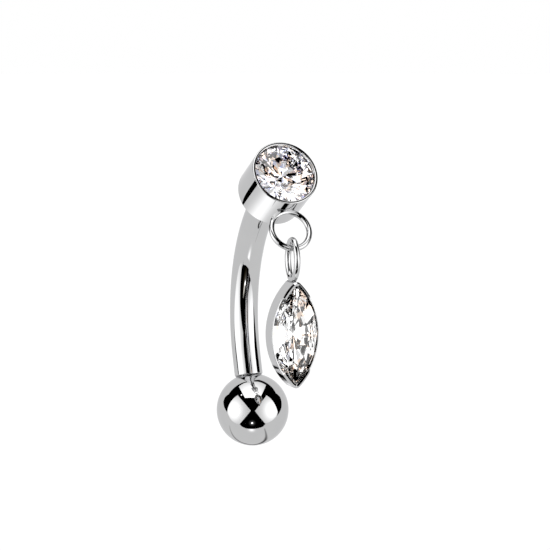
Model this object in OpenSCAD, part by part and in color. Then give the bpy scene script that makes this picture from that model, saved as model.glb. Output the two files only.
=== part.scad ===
// Curved barbell for a navel piercing: a bent bar with a ball below, a push-in
// bezel with a round stone above, and a marquise stone on a hanging drop.
// The origin is the middle of the bar, and the front is -Y. Each piece is symmetric, and all lie
// about X = 0 but the drop, which has come to rest a little to the left on its ring.

/* [Bar] */
// Outer diameter of the bar
bar_d = 1.6; // [1.4:0.1:1.8]
// Radius of the bar's bend, at its centreline
bend_r = 8.3; // [7.6:0.1:10]
// Lean of the bar's ball end, back from upright, in degrees
ball_end_lean = 17.5; // [10:0.5:25]
// Lean of the bar's cup end, forward from upright, in degrees
cup_end_lean = 58.5; // [50:0.5:65]
// Straight run between the bend and the ball
straight_run = 1.2; // [0.5:0.1:2]
// Chamfer at both ends of the bar
bar_chamfer = 0.08; // [0.04:0.01:0.15]
// Diameter of the bore that takes the pin
bore_d = 1; // [0.8:0.05:1.1]
// Diameter of the countersink at the bore's mouth
bore_mouth_d = 1.3; // [1.1:0.05:1.4]
// Depth of the bore, along the bend
bore_depth = 7.6; // [7.2:0.1:8.5]

/* [Ball] */
// Diameter of the ball
ball_d = 4.1; // [3:0.05:5]
// Diameter of the spigot that joins the bar to the ball
spigot_d = 0.9; // [0.7:0.05:1.1]
// Length of the spigot
spigot_len = 1.4; // [1:0.1:1.8]

/* [Cup and pin] */
// Outer diameter of the cup
cup_d = 3.7; // [3.4:0.05:4]
// Height of the cup
cup_h = 2.55; // [2.3:0.05:2.8]
// Thickness of the cup's wall beside the stone
cup_wall = 0.17; // [0.12:0.01:0.2]
// Thickness of the metal under the stone's point
cup_floor = 0.4; // [0.3:0.05:0.5]
// Diameter of the push-in pin
pin_d = 0.5; // [0.4:0.05:0.6]
// Length of the pin, along the bend
pin_len = 7; // [5:0.1:7]

/* [Ring] */
// Wire thickness of the ring
ring_wire = 0.32; // [0.28:0.01:0.36]
// Radius of the ring, at the middle of its wire
ring_r = 1.07; // [1:0.01:1.2]
// Distance of the ring's plane below the cup's rim
ring_below_rim = 1; // [0.8:0.05:1.2]
// How deep the ring is let into the cup's side
ring_sink = 0.13; // [0.08:0.01:0.15]

/* [Drop] */
// Wire thickness of the drop's link
link_wire = 0.35; // [0.3:0.01:0.38]
// Width of the link, between the middles of its wire
link_w = 1.28; // [1.15:0.01:1.4]
// Height of the link, between the middles of its wire
link_h = 2.1; // [1.9:0.01:2.2]
// Radius of the link's two ends, at the middle of its wire
link_end_r = 0.42; // [0.38:0.01:0.5]
// Room between the top of the link and the ring
link_room = 0.11; // [0.03:0.01:0.15]
// How far to the left of the middle the drop has come to rest on the ring
drop_slide = 0.11; // [0:0.01:0.15]
// Width of the marquise setting
setting_w = 2.77; // [2.6:0.01:2.9]
// Height of the marquise setting, between the points that its two arcs would meet in
setting_h = 5.96; // [5.7:0.02:6.1]
// Radius that rounds off the setting's two points
tip_r = 0.3; // [0.2:0.05:0.4]
// Depth of the marquise setting, front to back
setting_depth = 0.9; // [0.9:0.05:1.1]
// Thickness of the setting's wall beside the stone
setting_wall = 0.08; // [0.08:0.01:0.12]
// How far the crests of the two end claws stand in front of the rim
claw_rise = 0.2; // [0.15:0.01:0.25]
// Height of each end claw, measured down from where the arcs would meet
claw_h = 0.9; // [0.6:0.05:1]
// Width of each leg of a claw, in from the setting's outline
claw_w = 0.22; // [0.18:0.01:0.26]
// Distance of a claw's crest in from the setting's outline
claw_crest = 0.1; // [0.08:0.01:0.12]

/* [Stones] */
// Clearance between a stone and its seat
stone_gap = 0.02; // [0.02:0.01:0.03]
// Depth of the round stone's girdle below the cup's rim
girdle_below_rim = 0.2; // [0.15:0.01:0.3]
// Table width of a stone, as a share of its girdle
table_share = 0.56; // [0.5:0.01:0.62]
// Crown angle of the round stone, in degrees
crown_angle = 34; // [30:0.5:36]
// Pavilion angle of the round stone, in degrees
pavilion_angle = 41; // [39:0.5:42]
// Crown height of the marquise stone
marquise_crown = 0.34; // [0.28:0.01:0.4]
// Pavilion depth of the marquise stone
marquise_pavilion = 0.78; // [0.7:0.02:0.8]

/* [Hidden] */
$fn = 64;
steel = [0.78, 0.79, 0.8];
clear = [0.93, 0.94, 0.97];

// Gap between pieces that touch on the real jewel
fit = 0.03;
// Small overlap that makes a cut or a join clean
eps = 0.02;
// Room past the end of a spigot, and the reach of a cut past what it cuts
spare = 0.1;
// The same for what follows an arc, in degrees
spare_turn = 3;

// The angle that a length takes up on the bend's centreline
function degrees_of(length) = length / bend_r * 180 / PI;

// The bend's centre, in Y and Z: half of the visible bar lies on each side of the origin
arc_len = bend_r * (ball_end_lean + cup_end_lean) * PI / 180;
mid_lean = cup_end_lean - degrees_of((arc_len + straight_run) / 2);
bend_y = -bend_r * cos(mid_lean);
bend_z = -bend_r * sin(mid_lean);

// A length of rod that reaches into the next by its lap is a hair thinner, so that it stays inside it
hair = 0.02;
lap = 0.3;
link_lap = 0.08;
straight_d = bar_d - hair;

// The bar's end rests on a flat that is as wide as the bar, cut on the ball
ball_r = ball_d / 2;
ball_seat = sqrt(pow(ball_r, 2) - pow(bar_d / 2, 2));

// The cup stands on the bar's end, and the ring's middle lies in front of its axis
cup_base = [
    bend_y + bend_r * cos(cup_end_lean) - fit * sin(cup_end_lean),
    bend_z + bend_r * sin(cup_end_lean) + fit * cos(cup_end_lean)
];
ring_up = cup_h - ring_below_rim;
ring_out = cup_d / 2 + ring_r + ring_wire / 2 - ring_sink;

// The drop turns about the lowest point of the ring's wire
pivot = [
    cup_base[0] - ring_up * sin(cup_end_lean) - (ring_out + ring_r) * cos(cup_end_lean),
    cup_base[1] + ring_up * cos(cup_end_lean) - (ring_out + ring_r) * sin(cup_end_lean)
];
link_top = pivot[1] + (ring_wire + link_wire) / 2 + link_room;
link_mid = link_top - link_h / 2;

// Each side of the link is an arc that runs on into the arcs of the two ends, at this lean
link_side_r = (pow(link_w / 2, 2) + pow(link_h / 2 - link_end_r, 2) - pow(link_end_r, 2))
    / (link_w - 2 * link_end_r);
link_lean = asin((link_h / 2 - link_end_r) / (link_side_r - link_end_r));

// The setting's outline is two arcs, rounded off where they would meet
arc_r = (setting_w * setting_w + setting_h * setting_h) / (4 * setting_w);
arc_x = arc_r - setting_w / 2;
tip_z = sqrt(pow(arc_r - tip_r, 2) - pow(arc_x, 2));
solder = 0.1;
setting_mid = link_top - link_h - link_wire / 2 + solder - tip_z - tip_r;

// The slopes of a claw's leg, on either side of its crest
claw_outer_slope = 40;
claw_inner_slope = 30;

// The round stone
round_d = cup_d - 2 * cup_wall - 2 * stone_gap;
round_girdle = 0.06;
round_crown = round_d / 2 * (1 - table_share) * tan(crown_angle);
round_pavilion = round_d / 2 * tan(pavilion_angle);

// Half the angle between two of its eight main facets, and how near its point the lower facets reach
kite_half = 22.5;
lower_share = 0.22;

// The marquise stone: its girdle lies just behind the setting's front rim
marquise_girdle = 0.06;
star_rise = 0.56;
marquise_w = setting_w - 2 * setting_wall - 2 * stone_gap;
marquise_h = setting_h - 2 * setting_wall * setting_h / setting_w - 2 * stone_gap;
marquise_back = 0.12;
ledge = 0.16;
ledge_drop = 0.14;
claw_hollow = 0.05;

// Places children on the bar's centreline, where the bar leans forward by this much
module on_bend(lean) {
    translate([0, bend_y + bend_r * cos(lean), bend_z + bend_r * sin(lean)])
        rotate([lean, 0, 0])
            children();
}

// A round rod that follows the bend from one lean to another
module bent_rod(d, from, to) {
    translate([0, bend_y, bend_z])
        rotate([90, 0, 90])
            rotate([0, 0, from])
                rotate_extrude(angle = to - from)
                    translate([bend_r, 0])
                        circle(d = d);
}

// The pointed oval of a marquise, in the XY plane
module marquise_outline(w, h) {
    arc_r = (w * w + h * h) / (4 * w);
    intersection() {
        translate([arc_r - w / 2, 0])
            circle(r = arc_r, $fn = 180);
        translate([w / 2 - arc_r, 0])
            circle(r = arc_r, $fn = 180);
    }
}

// Points of a pointed oval: its two arcs, each in steps of equal height
function marquise_ring(w, h, n, z) = [
    for (i = [0 : 2 * n - 1])
        let (
            a = 90 * (i < n ? 1 - 2 * i / n : 2 * (i - n) / n - 1),
            y = h / 2 * sin(a),
            arc_r = (w * w + h * h) / (4 * w),
            x = sqrt(arc_r * arc_r - y * y) - arc_r + w / 2
        )
        [i < n ? x : -x, y, z]
];

function round_ring(r, n, turn, z) = [
    for (i = [0 : n - 1])
        [r * cos(360 * (i + turn) / n), r * sin(360 * (i + turn) / n), z]
];

function all_indices(points) = [for (i = [0 : len(points) - 1]) i];

// The convex solid over a set of points
module solid_of(points) {
    hull()
        polyhedron(points, [all_indices(points)]);
}

// A brilliant: table, star, kite and girdle facets over a fan of pavilion facets
module round_brilliant() {
    r = round_d / 2;
    star_r = r * (1 + table_share) / 2;
    star_z = (r - star_r * cos(kite_half)) * tan(crown_angle);
    low_r = r * lower_share;
    low_z = -(r - low_r * cos(kite_half)) * tan(pavilion_angle);
    solid_of(concat(
        round_ring(r * table_share, 8, 0, round_crown),
        round_ring(star_r, 8, 0.5, star_z),
        round_ring(r, 16, 0, 0),
        round_ring(r, 16, 0, -round_girdle),
        round_ring(low_r, 8, 0.5, low_z - round_girdle),
        [[0, 0, -round_pavilion - round_girdle]]
    ));
}

// The same cut on a pointed oval, with its table towards +Z
module marquise_brilliant() {
    mid_share = (1 + table_share) / 2;
    solid_of(concat(
        marquise_ring(marquise_w * table_share, marquise_h * table_share, 4, marquise_crown),
        marquise_ring(marquise_w * mid_share, marquise_h * mid_share, 8, marquise_crown * star_rise),
        marquise_ring(marquise_w, marquise_h, 8, 0),
        marquise_ring(marquise_w, marquise_h, 8, -marquise_girdle),
        [[0, 0, -marquise_pavilion - marquise_girdle]]
    ));
}

// What a chamfer takes off a rod's end: a ring outside a cone, with the rod's end at z = 0
module chamfer_ring(d, chamfer) {
    depth = chamfer + spare;
    translate([0, 0, -depth])
        difference() {
            cylinder(d = d + 4 * spare, h = depth + spare);
            cylinder(d1 = d + 2 * spare, d2 = d - 2 * chamfer - 2 * spare, h = depth + spare);
        }
}

module curved_bar() {
    seat_lean = -ball_end_lean;
    mouth = (bore_mouth_d - bore_d) / 2;
    color(steel)
        difference() {
            union() {
                bent_rod(bar_d, seat_lean, cup_end_lean);
                on_bend(seat_lean) {
                    translate([0, 0, bar_chamfer - straight_run])
                        cylinder(d = straight_d, h = straight_run - bar_chamfer + lap);
                    translate([0, 0, -straight_run])
                        cylinder(d1 = straight_d - 2 * bar_chamfer, d2 = straight_d, h = bar_chamfer);
                    translate([0, 0, -straight_run - spigot_len])
                        cylinder(d = spigot_d, h = spigot_len + lap);
                }
            }
            bent_rod(bore_d, cup_end_lean - degrees_of(bore_depth), cup_end_lean + spare_turn);
            on_bend(cup_end_lean) {
                chamfer_ring(bar_d, bar_chamfer);
                translate([0, 0, -mouth - eps])
                    cylinder(d1 = bore_d - 2 * eps, d2 = bore_mouth_d + 2 * eps, h = mouth + 2 * eps);
            }
        }
}

module ball() {
    color(steel)
        on_bend(-ball_end_lean)
            translate([0, 0, -straight_run - fit - ball_seat])
                difference() {
                    sphere(r = ball_r);
                    translate([0, 0, ball_seat])
                        cylinder(d = ball_d, h = ball_r);
                    translate([0, 0, ball_seat - spigot_len - spare])
                        cylinder(d = spigot_d + 2 * fit, h = spigot_len + 2 * spare);
                }
}

module bezel_top() {
    seat_z = cup_h - girdle_below_rim - round_girdle - 2 * stone_gap;
    color(steel) {
        on_bend(cup_end_lean)
            translate([0, 0, fit]) {
                difference() {
                    cylinder(d = cup_d, h = cup_h);
                    translate([0, 0, seat_z])
                        cylinder(d = cup_d - 2 * cup_wall, h = cup_h);
                    translate([0, 0, cup_floor])
                        cylinder(d1 = pin_d, d2 = cup_d - 2 * cup_wall, h = seat_z - cup_floor + eps);
                }
                translate([0, -ring_out, ring_up])
                    rotate_extrude()
                        translate([ring_r, 0])
                            circle(d = ring_wire);
            }
        bent_rod(pin_d, cup_end_lean - degrees_of(pin_len), cup_end_lean + degrees_of(cup_floor / 2));
    }
}

module round_stone() {
    color(clear)
        on_bend(cup_end_lean)
            translate([0, 0, fit + cup_h - girdle_below_rim])
                round_brilliant();
}

// Part of a ring of wire in the XY plane, from one angle to another
module wire_arc(d, radius, from, to) {
    rotate([0, 0, from])
        rotate_extrude(angle = to - from)
            translate([radius, 0])
                circle(d = d);
}

// A closed oval of wire: two small arcs above and below, and two large ones that lap into them
module link() {
    reach = link_lean + link_lap / link_side_r * 180 / PI;
    rotate([90, 0, 90])
        for (turn = [0, 180])
            rotate([0, 0, turn]) {
                translate([0, link_h / 2 - link_end_r])
                    wire_arc(link_wire, link_end_r, link_lean, 180 - link_lean);
                translate([link_w / 2 - link_side_r, 0])
                    wire_arc(link_wire - hair, link_side_r, -reach, reach);
            }
}

// The setting's outline: a pointed oval whose points are rounded off
module setting_outline() {
    touch = tip_z * arc_r / (arc_r - tip_r);
    intersection() {
        marquise_outline(setting_w, setting_h);
        square([setting_w, 2 * touch], center = true);
    }
    for (side = [-1, 1])
        translate([0, side * tip_z])
            circle(r = tip_r);
}

// One leg of a claw: a ridge that follows the right arc up to the middle. Its base lies below the rim.
module claw_leg() {
    base = -spare;
    beyond = 2 * spare;
    outer_z = claw_rise - (claw_crest + beyond) * tan(claw_outer_slope);
    inner_z = claw_rise - (claw_w - claw_crest) * tan(claw_inner_slope);
    from = asin((setting_h / 2 - claw_h) / arc_r);
    to = asin(setting_h / 2 / arc_r) + spare_turn;
    intersection() {
        translate([-arc_x, 0])
            rotate([0, 0, from])
                rotate_extrude(angle = to - from)
                    polygon([
                        [arc_r + beyond, base],
                        [arc_r + beyond, outer_z],
                        [arc_r - claw_crest, claw_rise],
                        [arc_r - claw_w, inner_z],
                        [arc_r - claw_w, base]
                    ]);
        translate([0, 0, -setting_depth])
            cube([setting_w, setting_h, 2 * setting_depth]);
    }
}

// The setting, facing +Z: its walls rise to the claws' height, and all in front of the rim but
// the claws is cut away. The ledge under the stone is twice as wide at the tips as at the sides.
module setting() {
    front = setting_depth / 2;
    difference() {
        translate([0, 0, -front])
            linear_extrude(setting_depth + claw_rise)
                setting_outline();
        difference() {
            translate([-setting_w, -setting_h, front])
                cube([2 * setting_w, 2 * setting_h, 2 * claw_rise]);
            translate([0, 0, front])
                for (turn = [0, 180])
                    rotate([0, 0, turn])
                        for (side = [0, 1])
                            mirror([side, 0, 0])
                                claw_leg();
        }
        translate([0, 0, front - marquise_back - marquise_girdle - ledge_drop])
            linear_extrude(marquise_back + marquise_girdle + ledge_drop + claw_hollow)
                marquise_outline(marquise_w + 2 * stone_gap, marquise_h + 2 * stone_gap);
        translate([0, 0, -setting_depth])
            linear_extrude(2 * setting_depth)
                marquise_outline(marquise_w - 2 * ledge, marquise_h - 4 * ledge);
    }
}

module drop_setting() {
    color(steel)
        translate([-drop_slide, pivot[0], 0]) {
            translate([0, 0, link_mid])
                link();
            translate([0, 0, setting_mid])
                rotate([90, 0, 0])
                    setting();
        }
}

module marquise_stone() {
    color(clear)
        translate([-drop_slide, pivot[0] - setting_depth / 2 + marquise_back, setting_mid])
            rotate([90, 0, 0])
                marquise_brilliant();
}

curved_bar();
ball();
bezel_top();
round_stone();
drop_setting();
marquise_stone();
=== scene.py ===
import math

import bpy
import numpy as np
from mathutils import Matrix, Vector


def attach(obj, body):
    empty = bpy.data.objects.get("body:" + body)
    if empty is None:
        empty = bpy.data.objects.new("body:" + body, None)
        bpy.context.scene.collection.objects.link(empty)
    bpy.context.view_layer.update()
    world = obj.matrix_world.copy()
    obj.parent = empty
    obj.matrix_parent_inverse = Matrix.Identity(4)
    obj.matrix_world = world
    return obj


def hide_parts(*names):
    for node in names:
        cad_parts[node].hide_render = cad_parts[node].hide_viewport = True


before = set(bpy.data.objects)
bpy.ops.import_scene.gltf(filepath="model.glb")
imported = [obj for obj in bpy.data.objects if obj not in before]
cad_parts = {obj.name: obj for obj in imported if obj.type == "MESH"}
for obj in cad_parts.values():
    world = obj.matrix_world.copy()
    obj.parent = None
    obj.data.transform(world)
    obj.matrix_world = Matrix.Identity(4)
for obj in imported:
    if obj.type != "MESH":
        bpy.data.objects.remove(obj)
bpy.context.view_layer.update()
print("frame loaded:", ", ".join(sorted(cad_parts)))

# Lengths are in millimetres and angles in degrees, unless a note says otherwise.
mm = 0.001
alongX = np.array([1.0, 0.0, 0.0])
upward = np.array([0.0, 0.0, 1.0])

# Where the photograph was taken from.
cameraSpec = {
    "azimuth": -22.3,
    "elevation": 8.0,
    "distance": 110.0,
    "target": (1.703, -0.185, -0.28),
    "lens": 126.2,
    "sensor": 36.0,
    "clip": (10.0, 10000.0),
}

azimuthAngle = math.radians(cameraSpec["azimuth"])
elevationAngle = math.radians(cameraSpec["elevation"])
toCamera = np.array([
    math.sin(azimuthAngle) * math.cos(elevationAngle),
    -math.cos(azimuthAngle) * math.cos(elevationAngle),
    math.sin(elevationAngle),
])
cameraRight = np.array([math.cos(azimuthAngle), math.sin(azimuthAngle), 0.0])
cameraFront = np.array([math.sin(azimuthAngle), -math.cos(azimuthAngle), 0.0])
cameraPlace = np.array(cameraSpec["target"]) + cameraSpec["distance"] * toCamera

cameraData = bpy.data.cameras.new("studioCamera")
cameraData.lens = cameraSpec["lens"]
cameraData.sensor_width = cameraSpec["sensor"]
cameraData.clip_start = cameraSpec["clip"][0] * mm
cameraData.clip_end = cameraSpec["clip"][1] * mm
camera = bpy.data.objects.new("studioCamera", cameraData)
bpy.context.scene.collection.objects.link(camera)
camera.location = Vector(cameraPlace * mm)
camera.rotation_mode = "QUATERNION"
camera.rotation_quaternion = Vector(-toCamera).to_track_quat("-Z", "Y")
bpy.context.scene.camera = camera
print("camera placed")

# What all surfaces and profiles share.
meshSpec = {
    "sharpAngle": 32.0,
    "axisGap": 0.01,  # a turned profile stops this far from its axis, and a fan closes it
    "mostOfSide": 0.45,  # a rounded corner takes no more than this share of its sides
    "justOutside": 1.1,  # where the extra points beside a rounded corner lie, in cut-backs
}


# A grid of points becomes faces between its neighbours. Rows follow the profile and columns go round it,
# so that the normal is the column direction crossed with the row direction. A pole closes an end with
# a fan.
def gridMesh(name, points, roundRows=False, roundColumns=True, startPole=None, endPole=None):
    rows, columns = points.shape[:2]
    vertices = points.reshape(-1, 3)
    index = np.arange(rows * columns).reshape(rows, columns)
    if roundRows:
        index = np.vstack([index, index[:1]])
    here, beside = index, np.roll(index, -1, axis=1)
    if not roundColumns:
        here, beside = here[:, :-1], beside[:, :-1]
    faces = np.stack([here[:-1], beside[:-1], beside[1:], here[1:]], axis=-1).reshape(-1, 4).tolist()
    if startPole is not None:
        faces += np.stack([beside[0], here[0], np.full(columns, len(vertices))], axis=-1).tolist()
        vertices = np.vstack([vertices, startPole])
    if endPole is not None:
        faces += np.stack([here[-1], beside[-1], np.full(columns, len(vertices))], axis=-1).tolist()
        vertices = np.vstack([vertices, endPole])
    mesh = bpy.data.meshes.new(name)
    mesh.from_pydata(vertices * mm, [], faces)
    mesh.shade_smooth()
    mesh.set_sharp_from_angle(angle=math.radians(meshSpec["sharpAngle"]))
    mesh.update()
    piece = bpy.data.objects.new(name, mesh)
    bpy.context.scene.collection.objects.link(piece)
    return piece


# A line through corners a, b, c ..., each rounded off by the curve (1-t)^2 a + 2t(1-t) b + t^2 c, which
# starts and ends a cut-back away from its corner. An extra point on each side of a curve keeps the straight
# parts flat, and where longest is given, longer stretches are divided.
def softLine(corners, cutBack, steps=4, longest=None):
    corners = np.asarray(corners, float)
    cutBack = np.broadcast_to(np.asarray(cutBack, float), len(corners))
    share = np.linspace(0, 1, steps + 1)[:, None]
    line = [corners[:1]]
    for before, corner, after, cut in zip(corners, corners[1:], corners[2:], cutBack[1:]):
        back, ahead = before - corner, after - corner
        lengthBack, lengthAhead = np.linalg.norm(back), np.linalg.norm(ahead)
        back, ahead = back / lengthBack, ahead / lengthAhead
        cut = min(cut, meshSpec["mostOfSide"] * lengthBack, meshSpec["mostOfSide"] * lengthAhead)
        start, end = corner + back * cut, corner + ahead * cut
        curve = (1 - share) ** 2 * start + 2 * share * (1 - share) * corner + share ** 2 * end
        outside = cut * meshSpec["justOutside"]
        line += [(corner + back * outside)[None], curve, (corner + ahead * outside)[None]]
    line.append(corners[-1:])
    line = np.vstack(line)
    if longest is None:
        return line
    counts = np.maximum(1, np.ceil(np.linalg.norm(np.diff(line, axis=0), axis=1) / longest).astype(int))
    position = np.concatenate([[0], np.cumsum(counts)])
    return betweenCorners(line, position, np.arange(position[-1] + 1))


# The points at the wanted positions on a line whose corners lie at the given ones.
def betweenCorners(corners, position, wanted):
    return np.stack([np.interp(wanted, position, column) for column in corners.T], axis=-1)


def circleAngles(count):
    return np.linspace(0, 2 * np.pi, count, endpoint=False)


# Each row is a circle of its own radius about a point of the path:
# centre + r (cos t * first + sin t * second).
def ringsAlong(centres, radii, firstAxes, secondAxes, count):
    angle = circleAngles(count)[None, :, None]
    spokes = np.cos(angle) * firstAxes[:, None, :] + np.sin(angle) * secondAxes[:, None, :]
    return centres[:, None, :] + radii[:, None, None] * spokes


# The bar's line, as in the CAD source: a bend, and a short straight end towards the ball.
bendSpec = {
    "radius": 8.3,
    "ballLean": 17.5,
    "cupLean": 58.5,
    "straight": 1.2,
    "gap": 0.03,  # between the bar's ends and the ball and cup
}
bendLength = bendSpec["radius"] * math.radians(bendSpec["ballLean"] + bendSpec["cupLean"])
halfLength = (bendLength + bendSpec["straight"]) / 2
middleLean = math.radians(bendSpec["cupLean"]) - halfLength / bendSpec["radius"]
bendCentre = -bendSpec["radius"] * np.array([0.0, math.cos(middleLean), math.sin(middleLean)])


# The centreline at a length from the bend's lower end: a circle about the bend's centre, and below
# it the tangent. It gives the points, the outward axis and the axis along the bar.
def barLine(length):
    length = np.asarray(length, float)
    lean = -math.radians(bendSpec["ballLean"]) + np.clip(length, 0, None) / bendSpec["radius"]
    zero = np.zeros_like(lean)
    outward = np.stack([zero, np.cos(lean), np.sin(lean)], axis=-1)
    along = np.stack([zero, -np.sin(lean), np.cos(lean)], axis=-1)
    points = bendCentre + bendSpec["radius"] * outward + np.clip(length, None, 0)[..., None] * along
    return points, outward, along


# A rod or a bored rod: each point of the profile is a length along the bar's line and a radius.
def rodOnBar(name, profile, count):
    points, outward, _ = barLine(profile[:, 0])
    across = np.broadcast_to(alongX, outward.shape)
    rings = ringsAlong(points, profile[:, 1], across, outward, count)
    return gridMesh(name, rings, startPole=points[0], endPole=points[-1])


# A turned shape: each point of the profile is a height on the axis and a radius.
def turned(profile, origin, outward, axis, count):
    centres = origin + profile[:, :1] * axis
    across = np.broadcast_to(alongX, centres.shape)
    return ringsAlong(centres, profile[:, 1], across, np.broadcast_to(outward, centres.shape), count)


# Mirror-polished steel: cloudy wear in the tone, and hair-fine polishing haze in the roughness.
# The wires have finer clouds.
steelSpec = {
    "tone": 0.52,
    "edgeTint": (0.86, 0.86, 0.87, 1.0),
    "cloudScale": 900.0,
    "cloudDetail": 3.0,
    "cloudFrom": 0.35,
    "cloudTo": 0.65,
    "cloudLow": (0.985, 0.987, 0.995),
    "cloudHigh": (1.01, 1.01, 1.015),
    "hairScale": 9000.0,
    "hairDetail": 6.0,
    "hairStretch": (1.0, 1.0, 0.25),
    "noiseReach": (0.3, 0.7),
    "haze": (0.012, 0.03),
}
wireSpec = {**steelSpec, "cloudScale": 2500.0}


def newMaterial(name):
    material = bpy.data.materials.new(name)
    material.use_nodes = True
    nodes, links = material.node_tree.nodes, material.node_tree.links
    return material, nodes, links, nodes["Principled BSDF"]


def noiseNode(nodes, links, place, scale, detail, stretch=(1.0, 1.0, 1.0)):
    mapping = nodes.new("ShaderNodeMapping")
    mapping.inputs["Scale"].default_value = stretch
    noise = nodes.new("ShaderNodeTexNoise")
    noise.inputs["Scale"].default_value = scale
    noise.inputs["Detail"].default_value = detail
    links.new(place.outputs["Object"], mapping.inputs["Vector"])
    links.new(mapping.outputs["Vector"], noise.inputs["Vector"])
    return noise


def polishedSteel(name, spec):
    material, nodes, links, shader = newMaterial(name)
    place = nodes.new("ShaderNodeTexCoord")
    shader.inputs["Metallic"].default_value = 1.0
    shader.inputs["Specular Tint"].default_value = spec["edgeTint"]
    cloud = noiseNode(nodes, links, place, spec["cloudScale"], spec["cloudDetail"])
    ramp = nodes.new("ShaderNodeValToRGB")
    low, high = ramp.color_ramp.elements
    low.position, high.position = spec["cloudFrom"], spec["cloudTo"]
    low.color = (*(spec["tone"] * part for part in spec["cloudLow"]), 1.0)
    high.color = (*(spec["tone"] * part for part in spec["cloudHigh"]), 1.0)
    links.new(cloud.outputs["Fac"], ramp.inputs["Fac"])
    links.new(ramp.outputs["Color"], shader.inputs["Base Color"])
    hair = noiseNode(nodes, links, place, spec["hairScale"], spec["hairDetail"], spec["hairStretch"])
    rough = nodes.new("ShaderNodeMapRange")
    reach = spec["noiseReach"] + spec["haze"]
    for inputName, value in zip(("From Min", "From Max", "To Min", "To Max"), reach):
        rough.inputs[inputName].default_value = value
    links.new(hair.outputs["Fac"], rough.inputs["Value"])
    links.new(rough.outputs["Result"], shader.inputs["Roughness"])
    return material


steel = polishedSteel("polishedSteel", steelSpec)
wireSteel = polishedSteel("wireSteel", wireSpec)
print("steel made")


def finishPiece(piece, material, body, node):
    piece.data.materials.append(material)
    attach(piece, body)
    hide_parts(node)
    return piece


# The curved bar, with the ball's spigot at its lower end and the pin's bore in its upper end.
barSpec = {
    "radius": 0.8,
    "chamfer": 0.08,
    "spigotRadius": 0.45,
    "spigotLength": 1.4,
    "boreRadius": 0.5,
    "mouthRadius": 0.65,
    "boreDepth": 7.6,
    "edge": 0.025,
    "round": 144,
    "longest": 0.12,
}


def makeBar(spec):
    low = -bendSpec["straight"]
    mouthDrop = spec["mouthRadius"] - spec["boreRadius"]
    corners = [
        (low - spec["spigotLength"], meshSpec["axisGap"]),
        (low - spec["spigotLength"], spec["spigotRadius"]),
        (low, spec["spigotRadius"]),
        (low, spec["radius"] - spec["chamfer"]),
        (low + spec["chamfer"], spec["radius"]),
        (bendLength - spec["chamfer"], spec["radius"]),
        (bendLength, spec["radius"] - spec["chamfer"]),
        (bendLength, spec["mouthRadius"]),
        (bendLength - mouthDrop, spec["boreRadius"]),
        (bendLength - spec["boreDepth"], spec["boreRadius"]),
        (bendLength - spec["boreDepth"], meshSpec["axisGap"]),
    ]
    return rodOnBar("polished_bar", softLine(corners, spec["edge"], longest=spec["longest"]), spec["round"])


bar = finishPiece(makeBar(barSpec), steel, "bar", "curved_bar")

# The ball, with a flat that the bar stands on and a hole for the spigot.
ballSpec = {
    "radius": 2.05,
    "flatRadius": 0.8,
    "holeRadius": 0.48,
    "holeDepth": 1.5,
    "edge": 0.02,
    "endTurn": 0.012,  # radians that the outline stops short of the pole and of the flat's corner
    "rows": 110,
    "round": 160,
}
ballFlat = math.sqrt(ballSpec["radius"] ** 2 - ballSpec["flatRadius"] ** 2)
ballSeat, ballOut, ballAxis = barLine(-bendSpec["straight"] - bendSpec["gap"])
ballCentre = ballSeat - ballFlat * ballAxis


# The ball's outline is a circle up to the flat, then the flat and the hole.
def makeBall(spec):
    flatTurn = math.asin(ballFlat / spec["radius"])
    angle = np.linspace(-math.pi / 2 + spec["endTurn"], flatTurn - spec["endTurn"], spec["rows"])
    outline = spec["radius"] * np.stack([np.sin(angle), np.cos(angle)], axis=-1)
    inside = softLine([
        outline[-1],
        (ballFlat, spec["flatRadius"]),
        (ballFlat, spec["holeRadius"]),
        (ballFlat - spec["holeDepth"], spec["holeRadius"]),
        (ballFlat - spec["holeDepth"], meshSpec["axisGap"]),
    ], spec["edge"])
    profile = np.vstack([outline[:-1], inside])
    points = turned(profile, ballCentre, ballOut, ballAxis, spec["round"])
    bottom, holeEnd = ballCentre - spec["radius"] * ballAxis, ballCentre + profile[-1, 0] * ballAxis
    return gridMesh("polished_ball", points, startPole=bottom, endPole=holeEnd)


finishPiece(makeBall(ballSpec), steel, "bar", "ball")
print("bar and ball made")

# The cup that holds the round stone.
cupSpec = {
    "radius": 1.85,
    "height": 2.55,
    "wall": 0.17,
    "floor": 0.4,
    "floorRadius": 0.25,
    "seatDepth": 0.3,
    "seatWidth": 0.06,
    "seatFall": 0.02,
    "lip": 0.06,
    "edge": 0.03,
    "seatEdge": 0.01,
    "floorEdge": 0.02,
    "girdleBelow": 0.262,  # the stone's girdle, below the rim
    "cornerSteps": 6,
    "round": 176,
    "longest": 0.5,
}
cupBase, cupOut, cupAxis = barLine(bendLength)
cupBase = cupBase + bendSpec["gap"] * cupAxis


def makeCup(spec):
    inner = spec["radius"] - spec["wall"]
    seat = spec["height"] - spec["seatDepth"]
    corners = [
        (0.0, meshSpec["axisGap"]),
        (0.0, spec["radius"]),
        (spec["height"], spec["radius"]),
        (spec["height"], inner),
        (seat, inner),
        (seat - spec["seatFall"], inner - spec["seatWidth"]),
        (spec["floor"], spec["floorRadius"]),
        (spec["floor"], meshSpec["axisGap"]),
    ]
    lip, seatEdge = spec["lip"], spec["seatEdge"]
    cutBack = [0, spec["edge"], lip, lip, seatEdge, seatEdge, spec["floorEdge"], 0]
    profile = softLine(corners, cutBack, spec["cornerSteps"], spec["longest"])
    points = turned(profile, cupBase, cupOut, cupAxis, spec["round"])
    return gridMesh("bezel_cup", points, startPole=cupBase, endPole=cupBase + spec["floor"] * cupAxis)


# The pin under the cup, in the curve that it takes inside the bar.
pinSpec = {"radius": 0.25, "length": 7.0, "intoCup": 0.2, "edge": 0.06, "round": 64, "longest": 0.15}


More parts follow.
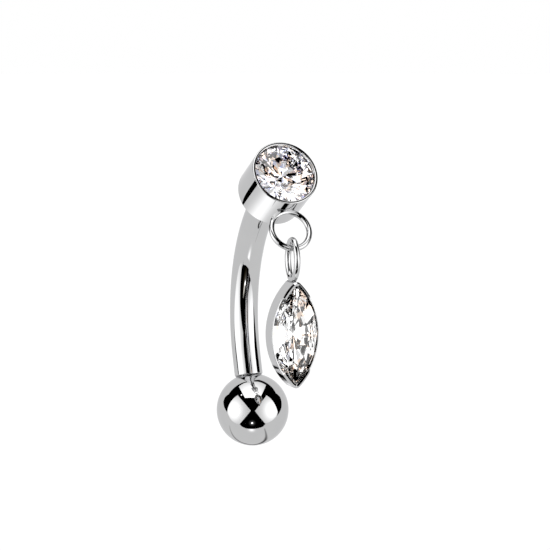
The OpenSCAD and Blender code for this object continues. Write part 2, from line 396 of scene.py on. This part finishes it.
def makePin(spec):
    low, high = bendLength - spec["length"], bendLength + spec["intoCup"]
    corners = [
        (low, meshSpec["axisGap"]),
        (low, spec["radius"]),
        (high, spec["radius"]),
        (high, meshSpec["axisGap"]),
    ]
    return rodOnBar("push_pin", softLine(corners, spec["edge"], longest=spec["longest"]), spec["round"])


# The ring soldered to the cup's front.
ringSpec = {
    "wire": 0.16,
    "radius": 1.07,
    "below": 1.0,
    "sink": 0.13,
    "round": 144,
    "roundWire": 36,
}
ringLevel = (cupSpec["height"] - ringSpec["below"]) * cupAxis


# A torus: the wire's circle carried round the ring's circle, whose plane lies square to the cup's axis.
def makeRing(spec):
    reach = cupSpec["radius"] + spec["radius"] + spec["wire"] - spec["sink"]
    centre = cupBase - reach * cupOut + ringLevel
    turn = circleAngles(spec["round"])[None, :, None]
    tube = circleAngles(spec["roundWire"])[:, None, None]
    spoke = np.cos(turn) * alongX + np.sin(turn) * cupOut
    away, above = spec["radius"] + spec["wire"] * np.cos(tube), spec["wire"] * np.sin(tube)
    points = centre + away * spoke + above * cupAxis
    return gridMesh("hanging_ring", points, roundRows=True)


cup = finishPiece(makeCup(cupSpec), steel, "top", "bezel_top")
finishPiece(makePin(pinSpec), wireSteel, "top", "bezel_top")
finishPiece(makeRing(ringSpec), wireSteel, "top", "bezel_top")
print("cup, pin and ring made")

# The drop's link: an oval wire that stands edge on to the front. The drop rests a little to the left.
dropSlide = 0.11
linkSpec = {
    "wire": 0.175,
    "width": 1.28,
    "height": 2.1,
    "end": 0.42,
    "room": 0.11,
    "sideRows": 14,
    "endRows": 18,
    "roundWire": 36,
}
ringReach = cupSpec["radius"] + 2 * ringSpec["radius"] + ringSpec["wire"] - ringSpec["sink"]
pivot = cupBase - ringReach * cupOut + ringLevel  # the middle of the ring's wire, where the link hangs
linkTop = pivot[2] + ringSpec["wire"] + linkSpec["wire"] + linkSpec["room"]
linkMiddle = linkTop - linkSpec["height"] / 2


# An oval of two wide arcs and two small end arcs that run on into each other. A point lies at its
# arc's centre plus (radius - inset) times (cos t, sin t), where t is the angle of the normal.
def ovalPoints(oval, turn, inset=0.0):
    onSide = np.abs(np.sin(turn)) <= math.sin(oval["reach"])
    centreX = np.where(onSide, -np.sign(np.cos(turn)) * oval["sideShift"], 0.0)
    centreY = np.where(onSide, 0.0, np.sign(np.sin(turn)) * oval["endShift"])
    radius = np.where(onSide, oval["sideRadius"], oval["endRadius"]) - inset
    return centreX + radius * np.cos(turn), centreY + radius * np.sin(turn)


def ovalFrom(sideRadius, sideShift, endRadius, endShift):
    return {
        "sideRadius": sideRadius,
        "sideShift": sideShift,
        "endRadius": endRadius,
        "endShift": endShift,
        "reach": math.asin(endShift / (sideRadius - endRadius)),  # the normal's angle where the arcs meet
    }


# The link's side arcs pass through its width and touch its end arcs.
def linkOval(spec):
    endShift = spec["height"] / 2 - spec["end"]
    gap = spec["width"] - 2 * spec["end"]
    sideRadius = ((spec["width"] / 2) ** 2 + endShift ** 2 - spec["end"] ** 2) / gap
    return ovalFrom(sideRadius, sideRadius - spec["width"] / 2, spec["end"], endShift)


# The setting's side arcs would meet in points at its full height, and small arcs round those off.
def settingOval(spec):
    sideRadius = (spec["width"] ** 2 + spec["height"] ** 2) / (4 * spec["width"])
    sideShift = sideRadius - spec["width"] / 2
    endShift = math.sqrt((sideRadius - spec["tip"]) ** 2 - sideShift ** 2)
    return ovalFrom(sideRadius, sideShift, spec["tip"], endShift)


# The quarter turn's angles carried round all four quarters, each angle once.
def fourQuarters(quarter):
    half = np.concatenate([quarter, np.pi - quarter[-2::-1]])
    return np.concatenate([half, np.pi + half[1:-1]])


# The wire's circle carried round the oval.
def makeLink(spec):
    oval = linkOval(spec)
    turn = fourQuarters(np.concatenate([
        np.linspace(0, oval["reach"], spec["sideRows"], endpoint=False),
        np.linspace(oval["reach"], np.pi / 2, spec["endRows"]),
    ]))
    across, up = ovalPoints(oval, turn)
    line = np.stack([0 * turn - dropSlide, pivot[1] + across, linkMiddle + up], axis=-1)
    outward = np.stack([0 * turn, np.cos(turn), np.sin(turn)], axis=-1)
    tube = circleAngles(spec["roundWire"])[:, None, None]
    points = line + spec["wire"] * (np.cos(tube) * outward + np.sin(tube) * alongX)
    return gridMesh("drop_link", points, roundRows=True)


# The marquise setting: an open wall with a ledge for the stone and a claw over each tip.
settingSpec = {
    "width": 2.77,
    "height": 5.96,
    "tip": 0.3,
    "depth": 0.9,
    "solder": 0.1,
    "wall": 0.09,
    "ledge": 0.15,
    "ledgeBelow": 0.32,
    "rimEdge": 0.04,
    "rimCrown": 0.002,
    "rimInside": (1.6, 2.2),  # extra points inside the rim, in rim edges
    "fineEdge": 0.01,
    "ledgeEdge": 0.02,
    "backEdge": 0.03,
    "clawHeight": 0.9,
    "clawOuter": 0.116,
    "clawCrest": (0.1, 0.2),
    "clawInner": (0.22, 0.131),
    "clawUnder": 0.02,
    "clawEdge": 0.015,
    "clawLip": 0.012,
    "clawTaper": 2.2,
    "rows": (26, 8, 12, 14),  # on the plain side, the taper, the claw's side and the tip
    "girdleBelow": 0.182,  # the stone's girdle, behind the front
}


# The wall's section is carried round the outline, each of its points at its own inset. Near the two
# tips the section passes into a claw's, which rises to a crest and reaches in over the stone.
def makeSetting(spec):
    oval = settingOval(spec)
    linkBottom = linkTop - linkSpec["height"] - linkSpec["wire"]
    middle = linkBottom + spec["solder"] - oval["endShift"] - oval["endRadius"]
    front = spec["depth"] / 2
    ledge = front - spec["ledgeBelow"]
    crestIn, crestUp = spec["clawCrest"]
    innerIn, innerUp = spec["clawInner"]
    shared = [
        (spec["wall"], ledge),
        (spec["wall"] + spec["ledge"], ledge),
        (spec["wall"] + spec["ledge"], -front),
        (0.0, -front),
        (0.0, 0.0),
    ]
    plain = [
        (0.0, 0.0),
        (0.0, front),
        (spec["wall"] / 2, front + spec["rimCrown"]),
        (spec["wall"], front),
        (spec["wall"], front - spec["rimEdge"] * spec["rimInside"][0]),
        (spec["wall"], front - spec["rimEdge"] * spec["rimInside"][1]),
    ]
    claw = [
        (0.0, 0.0),
        (0.0, front + spec["clawOuter"]),
        (crestIn, front + crestUp),
        (innerIn, front + innerUp),
        (innerIn, front + spec["clawUnder"]),
        (spec["wall"], front + spec["clawUnder"]),
    ]
    fine = spec["fineEdge"]
    sharedCut = [fine, fine, spec["ledgeEdge"], spec["backEdge"], 0]
    plainCut = [0, spec["rimEdge"], fine, spec["rimEdge"], fine, fine]
    clawCut = [0, spec["clawEdge"], spec["clawEdge"], spec["clawLip"], fine, fine]
    plainLine = softLine(plain + shared, plainCut + sharedCut)[:-1, :, None]
    clawLine = softLine(claw + shared, clawCut + sharedCut)[:-1, :, None]
    clawFrom = math.asin((spec["height"] / 2 - spec["clawHeight"]) / oval["sideRadius"])
    taper = math.radians(spec["clawTaper"])
    plainRows, taperRows, clawRows, tipRows = spec["rows"]
    turn = fourQuarters(np.concatenate([
        np.linspace(0, clawFrom - taper, plainRows, endpoint=False),
        np.linspace(clawFrom - taper, clawFrom, taperRows, endpoint=False),
        np.linspace(clawFrom, oval["reach"], clawRows, endpoint=False),
        np.linspace(oval["reach"], np.pi / 2, tipRows),
    ]))
    lean = np.arcsin(np.abs(np.sin(turn)))
    share = np.clip((lean - clawFrom + taper) / taper, 0, 1)
    section = plainLine + share * (clawLine - plainLine)
    across, up = ovalPoints(oval, turn, section[:, 0])
    points = np.stack([across - dropSlide, pivot[1] - section[:, 1], middle + up], axis=-1)
    return gridMesh("marquise_setting", points, roundRows=True)


finishPiece(makeLink(linkSpec), wireSteel, "drop", "drop_setting")
finishPiece(makeSetting(settingSpec), steel, "drop", "drop_setting")
print("drop made")

# The stones keep their CAD facets. The pavilion's colours are painted reflections: peach and lavender are
# painted fire, and dark is painted black reflection. Each tint holds from its share of chance to the next
# one's.
white, dark, peach, lavender = (1.0, 1.0, 1.0), (0.0, 0.0, 0.0), (1.0, 0.81, 0.68), (0.8, 0.83, 1.0)
stoneSpecs = {
    "round_stone": {
        "ior": 2.15,
        "gloss": 0.8,
        "axis": cupAxis,
        "girdle": cupBase + (cupSpec["height"] - cupSpec["girdleBelow"]) * cupAxis,
        "shift": 7.7,
        "cells": 1800.0,
        # Painted reflection colours for the pavilion's facets: painted fire and painted dark patches.
        "paintedReflectionTints": [(0.0, white), (0.45, peach), (0.57, lavender), (0.68, white), (0.915, dark)],
    },
    "marquise_stone": {
        "ior": 1.9,
        "gloss": 0.8,
        "axis": np.array([0.0, -1.0, 0.0]),
        "girdle": np.array([0.0, pivot[1] - settingSpec["depth"] / 2 + settingSpec["girdleBelow"], 0.0]),
        "shift": 84.5,
        "cells": 1100.0,
        "paintedReflectionTints": [(0.0, white), (0.45, peach), (0.51, lavender), (0.57, white), (0.88, dark)],
    },
}
facetSnap = 0.07  # normals that differ by less than this count as one facet


def vectorNode(nodes, links, operation, source, value=None):
    node = nodes.new("ShaderNodeVectorMath")
    node.operation = operation
    links.new(source, node.inputs[0])
    if value is not None:
        node.inputs[1].default_value = value
    return node


# A cut stone: clear as cubic zirconia at the crown, and a mirror below the girdle, which is where a real
# one sends the light back.
# The mirror's colour is painted reflection, peach and lavender fire and dark patches, drawn by chance for
# each facet, from its snapped normal, and for the cells that each facet is broken into.
def cutStone(name, spec):
    material, nodes, links, shader = newMaterial(name)
    place = nodes.new("ShaderNodeTexCoord")
    shader.inputs["Transmission Weight"].default_value = 1.0
    shader.inputs["IOR"].default_value = spec["ior"]
    shader.inputs["Roughness"].default_value = 0.0
    shader.inputs["Specular Tint"].default_value = (spec["gloss"], spec["gloss"], spec["gloss"], 1.0)
    offset = vectorNode(nodes, links, "SUBTRACT", place.outputs["Object"], Vector(spec["girdle"] * mm))
    height = vectorNode(nodes, links, "DOT_PRODUCT", offset.outputs["Vector"], Vector(spec["axis"]))
    below = nodes.new("ShaderNodeMath")
    below.operation = "LESS_THAN"
    below.inputs[1].default_value = 0.0
    links.new(height.outputs["Value"], below.inputs[0])
    links.new(below.outputs["Value"], shader.inputs["Metallic"])
    facet = vectorNode(nodes, links, "SNAP", place.outputs["Normal"], [facetSnap] * 3)
    shift = vectorNode(nodes, links, "ADD", facet.outputs["Vector"], [spec["shift"]] * 3)
    broken = vectorNode(nodes, links, "ADD", place.outputs["Object"])
    links.new(shift.outputs["Vector"], broken.inputs[1])
    cell = nodes.new("ShaderNodeTexVoronoi")
    cell.inputs["Scale"].default_value = spec["cells"]
    links.new(broken.outputs["Vector"], cell.inputs["Vector"])
    chance = nodes.new("ShaderNodeSeparateColor")
    links.new(cell.outputs["Color"], chance.inputs["Color"])
    # Painted reflection: fire tints and dark patches fixed on the pavilion's facets.
    paintedReflectionTints = nodes.new("ShaderNodeValToRGB")
    paintedReflectionTints.color_ramp.interpolation = "CONSTANT"
    while len(paintedReflectionTints.color_ramp.elements) < len(spec["paintedReflectionTints"]):
        paintedReflectionTints.color_ramp.elements.new(0.5)
    for element, (position, tint) in zip(paintedReflectionTints.color_ramp.elements, spec["paintedReflectionTints"]):
        element.position = position
        element.color = (*tint, 1.0)
    links.new(chance.outputs["Red"], paintedReflectionTints.inputs["Fac"])
    mix = nodes.new("ShaderNodeMix")
    mix.data_type = "RGBA"
    mix.inputs["A"].default_value = (*white, 1.0)
    links.new(below.outputs["Value"], mix.inputs["Factor"])
    links.new(paintedReflectionTints.outputs["Color"], mix.inputs["B"])
    links.new(mix.outputs["Result"], shader.inputs["Base Color"])
    return material


for nodeName, stoneSpec in stoneSpecs.items():
    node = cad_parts[nodeName]
    node.data.materials.clear()
    node.data.materials.append(cutStone(nodeName + "Cut", stoneSpec))
print("stones finished")


# The studio. A sheet glows by the strength that is stored at each of its points. A see-through one adds
# its glow to what lies behind it.
def glowMaterial(name, seeThrough, tint):
    material = bpy.data.materials.new(name)
    material.use_nodes = True
    nodes, links = material.node_tree.nodes, material.node_tree.links
    nodes.clear()
    output = nodes.new("ShaderNodeOutputMaterial")
    glow = nodes.new("ShaderNodeEmission")
    glow.inputs["Color"].default_value = (*tint, 1.0)
    stored = nodes.new("ShaderNodeAttribute")
    stored.attribute_name = "glow"
    links.new(stored.outputs["Fac"], glow.inputs["Strength"])
    if seeThrough:
        clear = nodes.new("ShaderNodeBsdfTransparent")
        both = nodes.new("ShaderNodeAddShader")
        links.new(glow.outputs["Emission"], both.inputs[0])
        links.new(clear.outputs["BSDF"], both.inputs[1])
        links.new(both.outputs["Shader"], output.inputs["Surface"])
    else:
        links.new(glow.outputs["Emission"], output.inputs["Surface"])
    return material


# Only mirrors and clear stones see a sheet.
def lightUp(sheet, strength, seeThrough=False, tint=white):
    stored = sheet.data.attributes.new("glow", "FLOAT", "POINT")
    stored.data.foreach_set("value", strength.astype(np.float32))
    sheet.data.materials.append(glowMaterial(sheet.name + "Glow", seeThrough, tint))
    sheet.visible_camera = False
    sheet.visible_shadow = False
    sheet.visible_diffuse = False


# A direction from the jewel, given to the right of the camera and above the horizon:
# cos e (cos a * front + sin a * right) + sin e * up.
def lookTo(azimuth, elevation):
    azimuth, elevation = np.radians(azimuth), np.radians(elevation)
    level = np.cos(azimuth)[..., None] * cameraFront + np.sin(azimuth)[..., None] * cameraRight
    return np.cos(elevation)[..., None] * level + np.sin(elevation)[..., None] * upward


# The strength falls from the peak at the brightest direction to the base, as exp(-(angle / spread)^2),
# and a halo, where there is one, falls off in the same way.
def glowAt(directions, spec, brightest):
    if "peak" not in spec:
        return np.full(directions.shape[:-1], spec["base"])
    angle = np.degrees(np.arccos(np.clip(directions @ brightest, -1, 1)))
    halo = spec.get("halo", 0.0) * np.exp(-(angle / spec.get("haloSpread", 1.0)) ** 2)
    return spec["base"] + halo + (spec["peak"] - spec["base"]) * np.exp(-(angle / spec["spread"]) ** 2)


patchCorners = 16


# A round patch's outline about a direction m: cos r * m + sin r (cos t * side + sin t * rise).
def roundPatch(azimuth, elevation, reach):
    middle = lookTo(azimuth, elevation)
    side = np.cross(middle, upward)
    side /= np.linalg.norm(side)
    rise = np.cross(side, middle)
    turn = circleAngles(patchCorners)[:, None]
    wide = math.radians(reach)
    rim = math.cos(wide) * middle + math.sin(wide) * (np.cos(turn) * side + np.sin(turn) * rise)
    azimuths, elevations = np.arctan2(rim @ cameraRight, rim @ cameraFront), np.arcsin(rim[:, 2])
    return np.degrees(np.stack([azimuths, elevations], axis=-1))


# Panels stand on spheres about the ball, or about another point. Each has an outline and a middle, or
# a patch (azimuth, elevation, reach), and is brightest in the middle unless it says otherwise.
ballMiddle = (0.0, -0.986, -7.807)
cupMiddle = cupBase + cupSpec["height"] / 2 * cupAxis
sheetSpec = {"edgeSteps": 8, "rows": 24, "smallest": 0.02}
boxGlow = {"peak": 2.7, "base": 1.0, "spread": 27.0}
leftBoxSide = [(-29, 30), (-71, 45), (-77, 35), (-82, 21), (-86, 4), (-87, -5), (-73, -25), (-59, -33)]
panelSpecs = {
    "blackCloth": {
        "outline": [
            (-118, 17), (-111, 28), (-116, 37), (-110, 45), (-75, 48), (-45, 46), (0, 46), (45, 46),
            (75, 48), (105, 45), (126, 39), (113, 30), (119, 17), (115, 10), (106, 0), (93, -9), (88, -12),
            (70, -20), (50, -33), (46, -36), (42, -43), (27, -49), (-2, -53), (-31, -49), (-43, -42),
            (-47, -35), (-59, -33), (-66, -27), (-83, -8), (-89, -5), (-106, 3), (-116, 9),
        ],
        "middle": (0, 0), "distance": 320.0, "base": 0.0,
    },
    "topCloth": {
        "outline": [
            (0, 40), (40, 40), (68, 44), (98, 38), (113, 30), (126, 39), (143, 48), (162, 53), (178, 63),
            (-155, 62), (-142, 58), (-126, 48), (-116, 37), (-108, 32), (-90, 38), (-70, 44), (-40, 40),
        ],
        "middle": (0, 88), "distance": 310.0, "base": 0.0,
    },
    "leftBox": {
        "outline": [(-5, 8), *leftBoxSide, (-47, -35), (-23, -14)],
        "middle": (-50, 4), "distance": 300.0, "notOn": [bar], "brightest": (-62, 4), **boxGlow,
    },
    "barLeftBox": {
        "outline": [(-11, 6), *leftBoxSide, (-52, -34), (-33, -14)],
        "middle": (-50, 4), "distance": 299.0, "onlyOn": [bar], "brightest": (-62, 4), **boxGlow,
    },
    "barFloor": {
        "outline": [
            (27, -49), (-2, -53), (-31, -49), (-43, -42), (-44, -38), (-33, -41), (-21, -44), (-2, -46),
            (18, -45.5),
        ],
        "middle": (-8, -47), "distance": 318.0, "onlyOn": [bar], "base": 1.0,
    },
    "barFloorRight": {
        "outline": [(27, -49), (18, -45.5), (22, -42), (33, -40.5), (40, -37.5), (46, -36), (42, -43)],
        "middle": (31, -44), "distance": 318.0, "onlyOn": [bar], "base": 1.0,
    },
    "barStreak": {
        "outline": [(-9, -31), (-1, -31), (-2, -25.6), (-6, -20), (-11, -19), (-9, -25)],
        "middle": (-5.5, -26), "distance": 285.0, "onlyOn": [bar],
        "brightest": (-5, -26), "peak": 1.5, "base": 0.15, "spread": 5.0, "tint": (1.0, 0.96, 0.88),
    },
    "barWarm": {
        "patch": (-6, -32, 14), "distance": 200.0, "onlyOn": [bar],
        "peak": 0.06, "base": 0.0, "spread": 9.0, "tint": (1.0, 0.75, 0.4),
    },
    "rightBox": {
        "outline": [
            (8, 7), (24, -14), (46, -34), (73, -22), (85, -12), (87, -5), (82, 9), (77, 28), (68, 46),
            (30, 30),
        ],
        "middle": (50, 4), "distance": 300.0, "brightest": (64, 4), **boxGlow,
    },
    "topBox": {
        "outline": [
            (-33, 46), (1, 49), (34, 46), (127, 54), (152, 63), (-170, 69), (-139, 63), (-116, 55),
        ],
        "middle": (0, 88), "distance": 300.0,
        "brightest": (-10, 62), "peak": 2.5, "base": 0.95, "spread": 42.0,
    },
    "frontGlint": {
        "patch": (-1, -32, 13), "distance": 290.0,
        "peak": 9.0, "base": 0.0, "spread": 1.7, "halo": 0.3, "haloSpread": 5.5,
    },
    "sideGlint": {"patch": (-56, 51, 2.2), "distance": 290.0, "peak": 4.0, "base": 0.5, "spread": 2.0},
    "floorGlint": {
        "patch": (-4, -58, 16), "distance": 330.0,
        "brightest": (-4, -55), "peak": 2.3, "base": 1.0, "spread": 7.0,
    },
    "cupFill": {
        "patch": (-125, -54.5, 40), "distance": 80.0, "about": cupMiddle, "onlyOn": [cup],
        "peak": 1.05, "base": 0.0, "spread": 16.5,
    },
    "roundFill": {
        "patch": (0, -10, 48), "distance": 80.0, "about": cupMiddle,
        "onlyOn": [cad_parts["round_stone"]], "base": 0.75,
    },
    "marquiseFill": {
        "patch": (-60, 10, 55), "distance": 80.0, "about": cupMiddle,
        "onlyOn": [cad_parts["marquise_stone"]], "base": 0.7,
    },
}


# Light linking: a panel reaches some pieces only, or all but some.
def linkLight(panel, pieces, state):
    receivers = bpy.data.collections.new(panel.name + "Receivers")
    for piece in pieces:
        receivers.objects.link(piece)
    for linked in receivers.collection_objects:
        linked.light_linking.link_state = state
    panel.light_linking.receiver_collection = receivers


# A panel's outline shrinks towards its middle m on the sphere: m + share (edge - m), made one long.
def studioPanel(name, spec):
    outline = roundPatch(*spec["patch"]) if "patch" in spec else np.array(spec["outline"], float)
    look = spec["patch"][:2] if "patch" in spec else spec["middle"]
    middle, brightest = lookTo(*look), lookTo(*spec.get("brightest", look))
    corners = lookTo(*np.vstack([outline, outline[:1]]).T)
    steps = np.arange(len(outline) * sheetSpec["edgeSteps"]) / sheetSpec["edgeSteps"]
    edge = betweenCorners(corners, np.arange(len(corners)), steps)
    share = np.linspace(1, sheetSpec["smallest"], sheetSpec["rows"])[:, None, None]
    directions = middle + share * (edge[None] - middle)
    directions /= np.linalg.norm(directions, axis=-1, keepdims=True)
    about = np.array(spec.get("about", ballMiddle))
    panel = gridMesh(name, about + spec["distance"] * directions, endPole=about + spec["distance"] * middle)
    strength = np.append(glowAt(directions, spec, brightest).ravel(), glowAt(middle[None], spec, brightest))
    lightUp(panel, strength, "onlyOn" in spec, spec.get("tint", white))
    if "onlyOn" in spec:
        linkLight(panel, spec["onlyOn"], "INCLUDE")
    if "notOn" in spec:
        linkLight(panel, spec["notOn"], "EXCLUDE")


for panelName, panelSpec in panelSpecs.items():
    studioPanel(panelName, panelSpec)

# A dark line on the table round the jewel. Each value along the route has a half width and a darkness.
lineSpec = {
    "route": [
        (-81, -34), (-98, -47), (-120, -54), (-149, -55), (-166, -54), (180, -52), (163, -57), (130, -64),
        (84, -63), (57, -54), (42, -43),
    ],
    "halfWidth": (2.5, 3.0, 4.0, 5.5, 6.5, 6.5, 6.5, 6.0, 4.0, 3.0, 2.5),
    "dark": (0.2, 0.45, 0.6, 0.75, 0.9, 0.95, 0.95, 0.9, 0.7, 0.6, 0.4),
    "distance": 8.0,
    "rows": 81,
    "columns": 13,
}


# A strip of a sphere about the ball, turned to both sides of the route m: cos w * m + sin w * side. It is
# darkest along its middle, and its strength is 1 - dark (1 + cos(pi x)) / 2 for x from -1 to 1 across it.
def darkLine(name, spec):
    corners = lookTo(*np.array(spec["route"], float).T)
    whole = np.arange(len(corners))
    place = np.linspace(0, len(corners) - 1, spec["rows"])
    middle = betweenCorners(corners, whole, place)
    middle /= np.linalg.norm(middle, axis=-1, keepdims=True)
    side = np.cross(middle, np.gradient(middle, axis=0))
    side /= np.linalg.norm(side, axis=-1, keepdims=True)
    across = np.linspace(-1, 1, spec["columns"])[:, None]
    reach = np.radians(np.interp(place, whole, spec["halfWidth"])) * across
    directions = np.cos(reach)[..., None] * middle + np.sin(reach)[..., None] * side
    strip = gridMesh(name, np.array(ballMiddle) + spec["distance"] * directions, roundColumns=False)
    strength = 1 - np.interp(place, whole, spec["dark"]) * (1 + np.cos(np.pi * across)) / 2
    lightUp(strip, strength.ravel())


darkLine("tableLine", lineSpec)

# Two small cards beside the cup. Angles go round the cup's axis from the side that faces the camera.
cardSpec = {
    "lift": 0.05,
    "slope": 0.08,
    "pastRim": 0.2,
    "faceHeight": 1.2,  # where on the cup's axis the camera's direction is taken
    "rows": 40,
    "columns": 40,
    "black": (-35.8, -26.5),
    "blackFlare": 6.0,
    "flareHeight": 0.5,
    "fill": (15.0, 39.5),
    "fillBrightest": 2.5,
    "fillLean": 0.553,  # the sine of the angle between the line of sight and the cup's axis
    "fillPlain": 0.8,
    "patch": (30.0, 38.0),
    "patchAbove": 1.45,
}


# A card lies where the cup's side mirrors it: from each point of the side at an angle and a height,
# a short way along the mirrored line of sight, 2 (n . v) n - v, which grows with the height.
def cupCard(name, spec, turnFrom, turnTo, strength):
    heights = np.linspace(0.0, cupSpec["height"] + spec["pastRim"], spec["rows"])[:, None]
    turn = turnFrom(heights) + np.linspace(0, 1, spec["columns"]) * (turnTo - turnFrom(heights))
    facing = cameraPlace - (cupBase + spec["faceHeight"] * cupAxis)
    facing = facing - (facing @ cupAxis) * cupAxis
    facing /= np.linalg.norm(facing)
    beside = np.cross(facing, cupAxis)
    beside *= np.sign(beside @ cameraRight)
    normal = np.cos(np.radians(turn))[..., None] * facing + np.sin(np.radians(turn))[..., None] * beside
    side = cupBase + heights[..., None] * cupAxis + cupSpec["radius"] * normal
    sight = cameraPlace - side
    sight /= np.linalg.norm(sight, axis=-1, keepdims=True)
    mirrored = 2 * np.sum(normal * sight, axis=-1, keepdims=True) * normal - sight
    points = side + (spec["lift"] + spec["slope"] * heights[..., None]) * mirrored
    lightUp(gridMesh(name, points, roundColumns=False), strength(turn, heights).ravel())


def blackCardFrom(heights):
    return cardSpec["black"][0] + cardSpec["blackFlare"] * np.exp(-heights / cardSpec["flareHeight"])


def blackCardGlow(turn, heights):
    return 0 * turn


def fillCardFrom(heights):
    return cardSpec["fill"][0] + 0 * heights


# The fill card carries on the glow of the cup's fill and ends in a plain stretch with a black patch.
def fillCardGlow(turn, heights):
    fill = panelSpecs["cupFill"]
    aside = np.sin(np.radians(turn - cardSpec["fillBrightest"]))
    away = 2 * np.degrees(np.arcsin(cardSpec["fillLean"] * aside))
    soft = 1.0 + fill["peak"] * np.exp(-(away / fill["spread"]) ** 2)
    patchFrom, patchTo = cardSpec["patch"]
    black = (turn > patchFrom) & (turn < patchTo) & (heights > cardSpec["patchAbove"])
    return np.where(black, 0.0, np.where(turn > patchFrom, cardSpec["fillPlain"], soft))


cupCard("blackCard", cardSpec, blackCardFrom, cardSpec["black"][1], blackCardGlow)
cupCard("fillCard", cardSpec, fillCardFrom, cardSpec["fill"][1], fillCardGlow)

# A pale floor, which mirrors and stones don't see.
floorSpec = {
    "height": -21.0,
    "radius": 900.0,
    "inner": 22.5,
    "rings": 40,
    "round": 96,
    "tone": (0.9, 0.9, 0.9, 1.0),
    "roughness": 0.8,
    "glow": 0.14,
}


def makeFloor(spec):
    radii = np.linspace(spec["radius"], spec["inner"], spec["rings"])[:, None]
    angle = circleAngles(spec["round"])
    level = np.full((spec["rings"], spec["round"]), spec["height"])
    points = np.stack([radii * np.cos(angle), radii * np.sin(angle), level], axis=-1)
    floor = gridMesh("studio_floor", points, endPole=spec["height"] * upward)
    material, _, _, shader = newMaterial("paleFloor")
    shader.inputs["Base Color"].default_value = spec["tone"]
    shader.inputs["Roughness"].default_value = spec["roughness"]
    shader.inputs["Emission Color"].default_value = (*white, 1.0)
    shader.inputs["Emission Strength"].default_value = spec["glow"]
    floor.data.materials.append(material)
    floor.visible_glossy = False
    floor.visible_transmission = False


makeFloor(floorSpec)

# A white world. The stones need many bounces.
world = bpy.data.worlds.new("studio")
world.use_nodes = True
background = world.node_tree.nodes["Background"]
background.inputs["Color"].default_value = (*white, 1.0)
background.inputs["Strength"].default_value = 1.0
scene = bpy.context.scene
scene.world = world
scene.view_settings.view_transform = "Standard"
scene.cycles.max_bounces = 32
scene.cycles.glossy_bounces = 24
scene.cycles.transmission_bounces = 32
print("studio lit")
